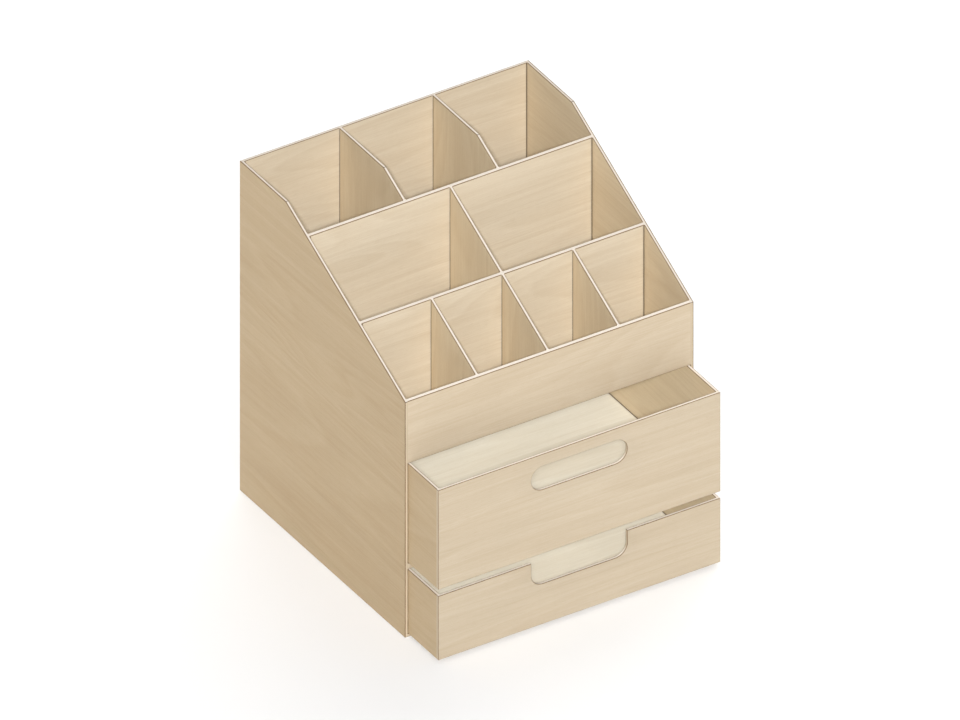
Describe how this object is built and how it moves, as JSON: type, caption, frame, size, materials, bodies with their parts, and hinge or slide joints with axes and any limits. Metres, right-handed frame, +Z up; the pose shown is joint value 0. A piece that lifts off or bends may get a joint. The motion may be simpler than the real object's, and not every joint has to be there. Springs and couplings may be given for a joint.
{
  "type": "drawer organizer",
  "caption": "Desktop organizer of thin beige board: open stepped tray of cells with a sloping rim over a tall drawer with a finger slot and a low drawer with a finger notch.",
  "frame": {"origin": "centre of the underside of the lowest casing, the face the organizer stands on", "axes": "+Z up, -Y the side the drawers open to, +X to the right seen from the front"},
  "size_m": [0.24, 0.26, 0.28],
  "materials": {
    "case_board": "matte, fine-grained pale board with paler cut edges",
    "drawer_board": "matte, fine-grained pale board with paler cut edges"
  },
  "bodies": {
    "case": {"lower_casing_left_side": "case_board", "lower_casing_right_side": "case_board", "lower_casing_floor": "case_board", "lower_casing_top": "case_board", "lower_casing_back": "case_board", "upper_casing_left_side": "case_board", "upper_casing_right_side": "case_board", "upper_casing_floor": "case_board", "upper_casing_top": "case_board", "upper_casing_back": "case_board", "tray_left_side": "case_board", "tray_right_side": "case_board", "tray_back": "case_board", "tray_floor": "case_board", "tray_front_apron": "case_board", "front_row_divider": "case_board", "rear_row_divider": "case_board", "front_cell_divider_left": "case_board", "front_cell_divider_centre": "case_board", "front_cell_divider_right": "case_board", "middle_cell_divider": "case_board", "rear_cell_divider_left": "case_board", "rear_cell_divider_right": "case_board"},
    "upper_drawer": {"upper_drawer_front": "drawer_board", "upper_drawer_back": "drawer_board", "upper_drawer_left_side": "drawer_board", "upper_drawer_right_side": "drawer_board", "upper_drawer_bottom": "drawer_board"},
    "lower_drawer": {"lower_drawer_front": "drawer_board", "lower_drawer_back": "drawer_board", "lower_drawer_left_side": "drawer_board", "lower_drawer_right_side": "drawer_board", "lower_drawer_bottom": "drawer_board"}
  },
  "joints": [
    {"name": "upper_drawer_slide", "type": "slide", "parent": "case", "child": "upper_drawer", "axis": [0, -1, 0], "range_m": [-0.04, 0.18]},
    {"name": "lower_drawer_slide", "type": "slide", "parent": "case", "child": "lower_drawer", "axis": [0, -1, 0], "range_m": [-0.04, 0.18]}
  ]
}
